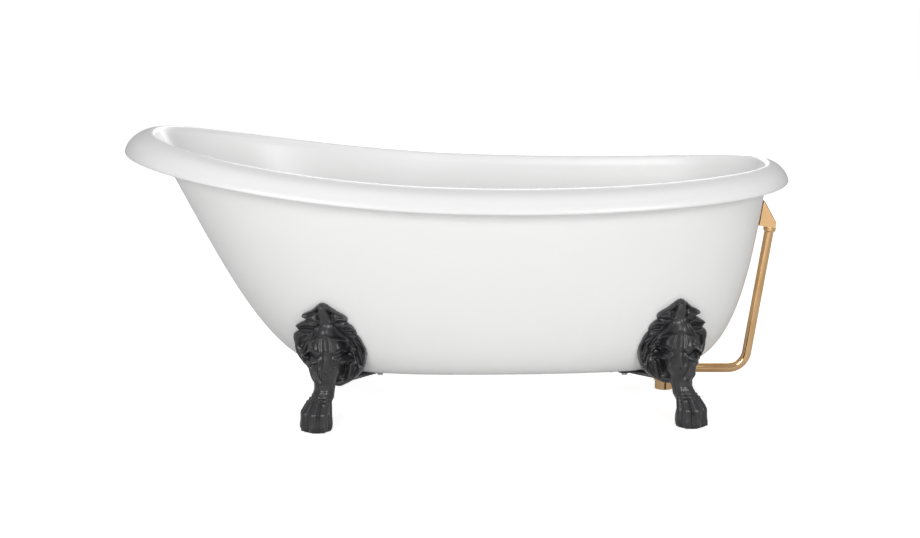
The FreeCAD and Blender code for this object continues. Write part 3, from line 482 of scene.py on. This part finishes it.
def wall_arc(toe, facing, height):
    """The wall beside a foot as points (s, f) with their arc from the foot's middle."""
    outline = skin_outline(height)
    across = np.array([-facing[1], facing[0]])
    s = (outline - toe) @ across
    f = (outline - toe) @ facing
    near = f > f.max() - 190
    start = np.argmax(~near & np.roll(near, -1))
    order = (np.arange(len(s)) + start + 1) % len(s)
    order = order[near[order]]
    s, f = s[order], f[order]
    if s[0] > s[-1]:
        s, f = s[::-1], f[::-1]
    run = np.concatenate([[0], np.cumsum(np.hypot(np.diff(s), np.diff(f)))])
    fine = np.arange(0, run[-1], 1.0)
    s, f = np.interp(fine, run, s), np.interp(fine, run, f)
    arc = fine - np.interp(0.0, s, fine)
    return s, f, arc


def wall_fields(toe, facing, fs, ss, zs, lowest):
    """Arc along the wall and distance outside it, on a coarse grid."""
    grid_f, grid_s = np.meshgrid(fs, ss, indexing="ij")
    arc_field = np.empty((len(fs), len(ss), len(zs)), np.float32)
    out_field = np.empty_like(arc_field)
    for k, z in enumerate(zs):
        s, f, arc = wall_arc(toe, facing, max(z, lowest))
        ds, df = np.gradient(s), np.gradient(f)
        length = np.hypot(ds, df)
        ds, df = ds / length, df / length
        gap_s = grid_s[..., None] - s
        gap_f = grid_f[..., None] - f
        i = np.argmin(gap_s ** 2 + gap_f ** 2, axis=-1)
        near_s = np.take_along_axis(gap_s, i[..., None], -1)[..., 0]
        near_f = np.take_along_axis(gap_f, i[..., None], -1)[..., 0]
        arc_field[..., k] = arc[i] + near_s * ds[i] + near_f * df[i]
        out_field[..., k] = near_f * ds[i] - near_s * df[i]
    return arc_field, out_field


def refined(field, axis, coarse, fine):
    """Linear interpolation of a field along one axis."""
    place = np.clip(np.interp(fine, coarse, np.arange(len(coarse))), 0, len(coarse) - 1.001)
    low = place.astype(int)
    shape = [1, 1, 1]
    shape[axis] = len(fine)
    part = (place - low).reshape(shape).astype(np.float32)
    return np.take(field, low, axis) * (1 - part) + np.take(field, low + 1, axis) * part


def stroke(a, z, points, width, amount):
    """A soft-edged ridge (or groove) along a line of points, drawn on both halves."""
    total = np.zeros_like(a)
    mirrored = np.abs(a)
    for (a0, z0), (a1, z1) in zip(points, points[1:]):
        run = (a1 - a0) ** 2 + (z1 - z0) ** 2
        t = np.clip(((mirrored - a0) * (a1 - a0) + (z - z0) * (z1 - z0)) / run, 0, 1)
        gap = np.hypot(mirrored - a0 - t * (a1 - a0), z - z0 - t * (z1 - z0)) / width
        total = np.maximum(total, np.clip(1 - gap ** 2, 0, 1) ** 1.5)
    return total * amount


def inside(a, z, corners):
    """Distance inside a closed outline drawn on the right half and mirrored."""
    a = np.abs(a)
    best = np.full(a.shape, 1e9)
    within = np.zeros(a.shape, bool)
    count = len(corners)
    for k in range(count):
        (a0, z0), (a1, z1) = corners[k], corners[(k + 1) % count]
        if not (a0 < 0 and a1 < 0):
            run = (a1 - a0) ** 2 + (z1 - z0) ** 2
            t = np.clip(((a - a0) * (a1 - a0) + (z - z0) * (z1 - z0)) / run, 0, 1)
            best = np.minimum(best, np.hypot(a - a0 - t * (a1 - a0), z - z0 - t * (z1 - z0)))
        crosses = (z0 > z) != (z1 > z)
        side = a < (a1 - a0) * (z - z0) / np.where(z1 == z0, 1e-9, z1 - z0) + a0
        within ^= crosses & side
    return np.where(within, best, -best)


def plate(a, z, corners, thick, rounding):
    """Thickness of a leaf with rounded edges."""
    depth = inside(a, z, corners)
    share = np.clip(depth / rounding, 0, 1)
    return np.where(depth > 0, thick * np.sqrt(1 - (1 - share) ** 2), np.maximum(depth, -60) - 3)


LEAF_TOP = [(-9, 341), (0, 340), (9, 337), (20, 328), (34, 317), (50, 309), (62, 303), (67, 296),
            (64, 289), (56, 285), (44, 283), (32, 279), (24, 272), (16, 262), (-9, 262)]
LEAF_MIDDLE = [(-9, 290), (30, 289), (62, 285), (74, 279), (87, 271), (94, 264), (93, 254),
               (86, 247), (60, 240), (-9, 240)]
LEAF_LOW = [(-9, 262), (60, 262), (86, 254), (97, 249), (109, 241), (116, 228), (121, 211),
            (122, 196), (117, 182), (109, 169), (98, 157), (84, 147), (68, 138), (52, 128),
            (30, 115), (5, 102), (-9, 100)]
GROOVES = [
    # top leaf
    (((8, 328), (30, 315), (58, 300)), 6, 2.6), (((17, 311), (38, 305), (56, 298)), 5, -3.6),
    (((15, 286), (32, 294), (58, 296)), 6, 3.4), (((18, 282), (20, 304), (11, 329)), 4.5, -4.5),
    (((26, 281), (42, 287), (58, 290)), 4, -2.0),
    # middle lobe
    (((34, 272), (56, 276), (86, 267)), 6, 3.2), (((38, 263), (62, 264), (87, 258)), 5, -4.5),
    (((44, 256), (66, 256), (88, 253)), 5, 2.4), (((84, 268), (88, 263)), 7, 2.5),
    # low lobe
    (((56, 250), (76, 249), (95, 251)), 4.5, -5.0),
    (((96, 243), (109, 228), (114, 205), (109, 183), (94, 165), (70, 151)), 11, 3.0),
    (((72, 232), (90, 222), (99, 204)), 9, -5.0), (((66, 222), (84, 206), (92, 188)), 6, 4.0),
    (((64, 208), (76, 190), (86, 172)), 10, -6.5), (((58, 190), (66, 174), (72, 160)), 6, 3.5),
    (((50, 176), (56, 160)), 7, -4.0), (((92, 155), (66, 143), (48, 131), (38, 119)), 5, 2.6),
    # ridge round the middle panel
    (((21, 274), (27, 262), (42, 242), (55, 223), (60, 208), (55, 196)), 5, 5.5),
    (((29, 270), (38, 254), (52, 236), (65, 218), (69, 203)), 5, -5.0),
    # mane
    (((0, 249), (0, 213)), 7.5, 3.6), (((10, 248), (14, 230), (13, 213)), 3.6, 4.2),
    (((15, 246), (24, 230), (26, 214)), 3.6, 4.2), (((21, 244), (36, 229), (40, 214)), 3.8, 4.2),
    (((29, 241), (45, 226), (52, 212)), 3.6, 3.4),
    # brow, eye, nose, cheek
    (((15, 206), (26, 212), (38, 213), (52, 203), (58, 190)), 5.0, 5.5),
    (((22, 200), (34, 204), (46, 197)), 7.5, -8.0), (((33, 199), (40, 197)), 4.0, 4.0),
    (((12, 205), (10, 188), (13, 170)), 5.0, -4.5), (((0, 210), (0, 160)), 7.0, 3.5),
    (((30, 183), (44, 180), (52, 168)), 8.5, 6.5), (((22, 178), (24, 158), (16, 130)), 5, -4.5),
    (((40, 166), (36, 146), (27, 124)), 7.5, 4.0), (((52, 156), (44, 138), (34, 120)), 4.5, -3.5),
]


def eased(drawing):
    """A drawing over (arc, height) with its steps spread over about 3 mm."""
    weights = np.exp(-0.5 * (np.arange(-6, 7) / 2.4) ** 2)
    weights /= weights.sum()
    for axis in (0, 1):
        drawing = sum(w * np.roll(drawing, k - 6, axis) for k, w in enumerate(weights))
    return drawing


def leaf_relief():
    """Thickness and surface relief of the leaf over (arc, height)."""
    arcs = np.arange(-140, 140.5, DRAWING_STEP)
    heights = np.arange(86, 348, DRAWING_STEP)
    a, z = np.meshgrid(arcs, heights, indexing="ij")
    thick = plate(a, z, LEAF_LOW, 11.0, 9.0)
    thick = np.maximum(thick, plate(a, z, LEAF_MIDDLE, 13.0, 8.0))
    thick = np.maximum(thick, plate(a, z, LEAF_TOP, 17.0, 8.0))
    bud = 1 - (a / 15.5) ** 2 - ((z - 306) / np.where(z > 306, 28.0, 31.0)) ** 2
    thick = np.maximum(thick, np.where(bud > 0, 14 + 14 * np.sqrt(np.clip(bud, 0, 1)), -60))
    thick -= 1.5
    detail = sum(stroke(a, z, *row) for row in GROOVES)
    rungs = 1.6 * np.cos((z - 214) * 2 * np.pi / 6.2) * stroke(a, z, ((0, 247), (0, 216)), 8, 1.0)
    detail = (1.45 * detail + rungs) * np.clip(thick / 10, 0, 1)
    thick, detail = eased(thick), eased(detail)
    return arcs, heights, thick, np.maximum(detail, np.minimum(LEAF_LEAST - thick, 0))


# Level sections of the leg: height, front, back, half width.
LEG = np.array([
    (-4, -3, -84, 37), (4, 0, -88, 41), (16, 2, -90, 43), (32, 0, -89, 43), (50, -9, -86, 38),
    (70, -26, -89, 31), (88, -38, -94, 27), (105, -44, -99, 25.5), (120, -44, -102, 26),
    (135, -38, -106, 30), (150, -35, -118, 38), (170, -32, -130, 45), (190, -33, -130, 47),
    (210, -36, -125, 43), (228, -40, -120, 36), (245, -46, -115, 29), (262, -52, -112, 23),
    (285, -66, -112, 17), (310, -90, -112, 12), (350, -110, -112, 8)], float)


def blended(one, two, reach):
    """Union of two fields with a fillet."""
    share = np.clip(0.5 + 0.5 * (two - one) / reach, 0, 1)
    return two * (1 - share) + one * share - reach * share * (1 - share)


def chain(f, s, z, points):
    """Distance to a chain of round links (f, s, z, radius)."""
    best = None
    for (f0, s0, z0, r0), (f1, s1, z1, r1) in zip(points, points[1:]):
        run = (f1 - f0) ** 2 + (s1 - s0) ** 2 + (z1 - z0) ** 2
        t = ((f - f0) * (f1 - f0) + (s - s0) * (s1 - s0) + (z - z0) * (z1 - z0)) / run
        t = np.clip(t, 0, 1)
        gap = np.sqrt((f - f0 - t * (f1 - f0)) ** 2 + (s - s0 - t * (s1 - s0)) ** 2
                      + (z - z0 - t * (z1 - z0)) ** 2) - (r0 + t * (r1 - r0))
        best = gap if best is None else np.minimum(best, gap)
    return best


PAW_MIDDLE = -45.0
TOE_TURNS = (-63, -21, 21, 63)


def paw_parts():
    """Toes, claws and tendons as chains of links, by turn from the front."""
    toes, claws, tendons = [], [], []
    for turn in TOE_TURNS + (-106, 106):
        c, s = math.cos(math.radians(turn)), math.sin(math.radians(turn))
        small = 0.86 if abs(turn) > 90 else 1.0

        def link(out, height, radius):
            middle = np.interp(height, (50, 70, 88, 105, 120), (-45, -55, -64, -70, -73))
            return (middle + out * c, out * s, height, radius)

        toes.append([link(19, 88, 7.5 * small), link(28 * small, 68, 10.5 * small),
                     link(33.5 * small, 46, 12.8 * small), link(34 * small, 13, 12.8 * small)])
        if abs(turn) < 90:
            claws.append([link(41, 30, 4.5), link(44.5, 18, 4.2), link(46.0, 7, 3.0)])
        tendons.append([link(17, 126, 4.6), link(19, 104, 5.4), link(23, 88, 6.6)])
    return toes, claws, tendons


def surface_net(field, start, step):
    """A smooth quad mesh of the surface where the field is zero."""
    inner = field < 0
    shape = np.array(field.shape) - 1
    count = np.zeros(shape, np.int8)
    corners = [(i, j, k) for i in (0, 1) for j in (0, 1) for k in (0, 1)]
    for i, j, k in corners:
        count += inner[i:i + shape[0], j:j + shape[1], k:k + shape[2]]
    active = (count > 0) & (count < 8)
    index = np.full(shape, -1, np.int64)
    cells = np.argwhere(active)
    index[active] = np.arange(len(cells))
    total = np.zeros((len(cells), 3))
    hits = np.zeros(len(cells))
    for one in corners:
        for axis in range(3):
            if one[axis]:
                continue
            two = list(one)
            two[axis] = 1
            a = field[tuple((cells + one).T)]
            b = field[tuple((cells + two).T)]
            cross = (a < 0) != (b < 0)
            part = np.where(cross, a / np.where(a == b, 1, a - b), 0)
            place = np.array(one, float) + part[:, None] * (np.array(two) - np.array(one))
            total += place * cross[:, None]
            hits += cross
    vertices = start + (cells + total / hits[:, None]) * step
    quads = []
    for axis in range(3):
        other, third = (axis + 1) % 3, (axis + 2) % 3
        a = inner.take(np.arange(field.shape[axis] - 1), axis)
        b = inner.take(np.arange(1, field.shape[axis]), axis)
        edges = np.argwhere(a != b)
        edges = edges[(edges[:, other] > 0) & (edges[:, third] > 0)
                      & (edges[:, other] < shape[other]) & (edges[:, third] < shape[third])]
        rising = a[tuple(edges.T)]
        around = []
        for back_other, back_third in ((1, 1), (0, 1), (0, 0), (1, 0)):
            cell = edges.copy()
            cell[:, other] -= back_other
            cell[:, third] -= back_third
            around.append(index[tuple(cell.T)])
        quad = np.stack(around, axis=1)
        quad[~rising] = quad[~rising][:, ::-1]
        quads.append(quad)
    return vertices, np.concatenate(quads)


def sculpted_foot(toe, facing, inner, outer, step=GRID_STEP):
    """Vertices (in the foot's frame) and quads of one foot, without its arm."""
    fs = np.arange(-196, 14, step)
    ss = np.arange(-132, 132.1, step)
    zs = np.arange(-3, 347, step)
    coarse = [np.arange(v[0], v[-1] + 6, 6.0) for v in (fs, ss, zs)]
    toe, facing = np.array(toe), np.array(facing)
    arc, out = wall_fields(toe, facing, *coarse, WALL_HOLD)
    _, clear = wall_fields(toe, facing, *coarse, WALL_FOOT)
    for axis, (rough, fine) in enumerate(zip(coarse, (fs, ss, zs))):
        arc = refined(arc, axis, rough, fine)
        out = refined(out, axis, rough, fine)
        clear = refined(clear, axis, rough, fine)
    stretch = np.where((arc > 0) == (facing[0] < 0), 1 + inner * arc ** 4,
                       1 + outer * np.abs(arc))
    arc = arc * stretch
    arcs, heights, thick, detail = leaf_relief()
    thickness = np.empty_like(arc)
    relief = np.empty_like(arc)
    drawn = np.where(zs > LEAF_ROOT, LEAF_ROOT + (zs - LEAF_ROOT) / LEAF_SCALE, zs)
    for k, z in enumerate(drawn):
        row = np.clip((z - heights[0]) / DRAWING_STEP, 0, len(heights) - 1.001)
        low, part = int(row), row - int(row)
        thickness[..., k] = np.interp(arc[..., k], arcs, thick[:, low] * (1 - part)
                                      + thick[:, low + 1] * part)
        relief[..., k] = np.interp(arc[..., k], arcs, detail[:, low] * (1 - part)
                                   + detail[:, low + 1] * part)
    f = fs[:, None, None]
    s = ss[None, :, None]
    z = zs[None, None, :]
    leaf = np.maximum(out - thickness, -LEAF_SHELL - out)
    leaf = np.where(z < 90, 30.0, leaf)
    front, back, half = (np.interp(zs, LEG[:, 0], LEG[:, i])[None, None, :] for i in (1, 2, 3))
    middle, depth = (front + back) / 2, (front - back) / 2
    power = np.interp(zs, (0, 60, 110, 200), (2.6, 2.3, 2.1, 2.2))[None, None, :]
    ratio = (np.abs((f - middle) / depth) ** power + np.abs(s / half) ** power) ** (1 / power)
    leg = (ratio - 1) * np.minimum(depth, half)
    body = blended(leaf, leg, np.interp(z, (100, 150, 190), (34.0, 30.0, 16.0)))
    body = body - relief * np.clip((z - 118) / 16, 0, 1)
    low = zs < 140
    region = (slice(None), slice(None), low)
    zl = zs[low][None, None, :]
    toes, claws, tendons = paw_parts()
    shrunk = body[region] + 8.0 * np.clip((84 - zl) / 20, 0, 1)
    for part in toes:
        shrunk = blended(shrunk, chain(f, s, zl, part), 1.6)
    for part in tendons:
        shrunk = blended(shrunk, chain(f, s, zl, part), 2.4)
    for part in claws:
        shrunk = blended(shrunk, chain(f, s, zl, part), 1.5)
    turn = np.degrees(np.arctan2(np.abs(s), f - (PAW_MIDDLE - 8)))
    crease = np.clip(1 - np.abs(zl - 84) / 22, 0, 1) * np.clip(1 - np.abs(turn - 62) / 50, 0, 1)
    shrunk = shrunk + 1.9 * crease * np.sin(zl * 2 * np.pi / 8.5)
    body[region] = shrunk
    pocket = np.maximum(np.hypot(f + STUD_SETBACK, s) - STUD_POCKET, z - STUD_POCKET_TOP)
    body = np.maximum(body, -pocket)
    body = np.maximum(body, -z)
    body = np.maximum(body, np.where(z > 119.5, FOOT_GAP - clear, -1000.0))
    vertices, quads = surface_net(body, np.array([fs[0], ss[0], zs[0]]), step)
    vertices[:, 2] = np.maximum(vertices[:, 2], 0)
    return vertices, quads


# Toe point, azimuth, and how arcs stretch on the inner and the outer half.
FOOT_ENDS = {"left": ((-386.0, -310.0), -39.0, 1.7e-8, -0.0004),
             "right": ((636.0, -259.0), 48.0, 1.2e-8, 0.0006)}
BOLT_LINE, BOLT_PITCH = 85.0, 46.0


def lying_prism(name, outline, low, high, soft=1.2):
    """A flat bar with an eased lower edge, from its outline seen from above."""
    centre = np.mean(outline, axis=0)
    rings = []
    edge = ((soft, low), (soft * 0.3, low + soft * 0.3), (0.0, low + soft), (0.0, high))
    for inset, z in edge:
        away = outline - centre
        away = away / np.linalg.norm(away, axis=1)[:, None] * inset
        rings.append(np.column_stack([outline - away, np.full(len(outline), z)]))
    return rings_mesh(name, rings)


def arm_mesh(inner_bolt, outer_bolt):
    """The cast arm under the base board, in a foot's frame: a web and two drilled bosses."""
    turns = np.pi / 2 + np.pi * np.arange(25) / 24
    web = [(inner_bolt + 15 * math.cos(t), 15 * math.sin(t)) for t in turns]
    web += [(-76.0, -20.0), (-76.0, 20.0)]
    around = 2 * np.pi * np.arange(48) / 48
    pieces = [lying_prism("web", np.array(web), 113.5, 120.9)]
    for place in (inner_bolt, outer_bolt):
        boss = np.column_stack([place + 18 * np.cos(around), 18 * np.sin(around)])
        pieces.append(lying_prism("boss", boss, 109.0, 120.9))
    vertices, faces = [], []
    for piece in pieces:
        for place in (inner_bolt, outer_bolt):
            hole = np.column_stack([place + 4.5 * np.cos(around), 4.5 * np.sin(around)])
            cutter = rings_mesh("cut", [np.column_stack([hole, np.full(48, z)])
                                        for z in (100.0, 130.0)])
            cut = piece.modifiers.new("hole", "BOOLEAN")
            cut.solver = "EXACT"
            cut.object = cutter
            bpy.context.view_layer.update()
            applied(piece)
            bpy.data.objects.remove(cutter)
        start = len(vertices)
        vertices += [tuple(v.co / MM) for v in piece.data.vertices]
        faces += [tuple(i + start for i in p.vertices) for p in piece.data.polygons]
        bpy.data.objects.remove(piece)
    return np.array(vertices), faces


def stand(end):
    """Both feet of one end, the rear one the front one's mirror image."""
    (toe_x, toe_y), azimuth, inner, outer = FOOT_ENDS[end]
    swing = math.radians(azimuth)
    facing = (math.sin(swing), -math.cos(swing))
    across = (-facing[1], facing[0])
    body, quads = sculpted_foot((toe_x, toe_y), facing, inner, outer)
    outer_bolt = -(abs(toe_y) - BOLT_LINE) / abs(facing[1])
    arm, arm_faces = arm_mesh(outer_bolt - BOLT_PITCH, outer_bolt)
    faces = [tuple(q) for q in quads] + [tuple(i + len(body) for i in f) for f in arm_faces]
    local = np.concatenate([body, arm])
    placed = np.empty_like(local)
    for axis, toe in enumerate((toe_x, toe_y)):
        placed[:, axis] = toe + facing[axis] * local[:, 0] + across[axis] * local[:, 1]
    placed[:, 2] = local[:, 2]
    for side, sign in (("front", 1), ("rear", -1)):
        flipped = faces if sign > 0 else [f[::-1] for f in faces]
        foot = new_object(f"cast_foot_{side}_{end}", placed * (MM, MM * sign, MM), flipped)
        dressed(foot, "foot_iron", "bath", f"foot_{side}_{end}")


for end in ("left", "right"):
    stand(end)


# ------------------------------------------------------------------ camera, floor, light

camera_data = bpy.data.cameras.new("camera")
camera_data.lens = 89.8
camera_data.sensor_width = 36
camera_data.clip_end = 200
camera = bpy.data.objects.new("camera", camera_data)
camera.location = (0.0075, -6.0, 1.518)
camera.rotation_euler = (math.radians(90 - 10.83), 0, 0)
bpy.context.scene.collection.objects.link(camera)
bpy.context.scene.camera = camera


def studio_floor():
    """A plain pale floor that reads as white to the camera and sends less light back."""
    half = 80.0
    floor = new_object("studio_floor", [(-half, -half, 0), (half, -half, 0), (half, half, 0),
                                        (-half, half, 0)], [(0, 1, 2, 3)], smooth=False)
    m = Nodes("studio_floor")
    m.set(Roughness=0.9, Specular_IOR_Level=0.0)
    path = m.add("ShaderNodeLightPath")
    mix = m.add("ShaderNodeMix", data_type="RGBA")
    mix.inputs["A"].default_value = (0.80, 0.80, 0.80, 1)
    mix.inputs["B"].default_value = (0.97, 0.97, 0.97, 1)
    seen = m.add("ShaderNodeMath", operation="MAXIMUM")
    m.link(path.outputs["Is Camera Ray"], seen.inputs[0])
    m.link(path.outputs["Is Transmission Ray"], seen.inputs[1])
    m.link(seen.outputs[0], mix.inputs["Factor"])
    m.link(mix.outputs["Result"], m.shader.inputs["Base Color"])
    m.shader.inputs["Emission Color"].default_value = (1, 1, 1, 1)
    m.link(m.spread(seen.outputs[0], 0.0, 0.64),
           m.shader.inputs["Emission Strength"])
    floor.data.materials.append(m.material)


studio_floor()


def soft_light(name, place, aim, size, power, tall=None):
    data = bpy.data.lights.new(name, "AREA")
    data.shape = "RECTANGLE"
    data.size = size
    data.size_y = tall or size
    data.energy = power
    light = bpy.data.objects.new(name, data)
    light.location = place
    light.rotation_euler = (Vector(aim) - Vector(place)).to_track_quat("-Z", "Y").to_euler()
    bpy.context.scene.collection.objects.link(light)


soft_light("top_soft", (0.0, -0.2, 3.4), (0, 0, 0.3), 3.4, 20, 2.4)
soft_light("front_left", (-1.7, -4.7, 1.75), (0, 0, 0.42), 2.2, 86, 1.5)
soft_light("front_right", (2.4, -4.4, 1.65), (0.2, 0, 0.42), 1.3, 60, 1.7)
soft_light("back_soft", (0.3, 4.7, 2.0), (0, 0, 0.42), 2.4, 34, 1.5)

world = bpy.data.worlds.new("studio")
world.use_nodes = True
world.node_tree.nodes["Background"].inputs["Color"].default_value = (1, 1, 1, 1)
world.node_tree.nodes["Background"].inputs["Strength"].default_value = 0.38
bpy.context.scene.world = world
bpy.context.scene.view_settings.view_transform = "Standard"
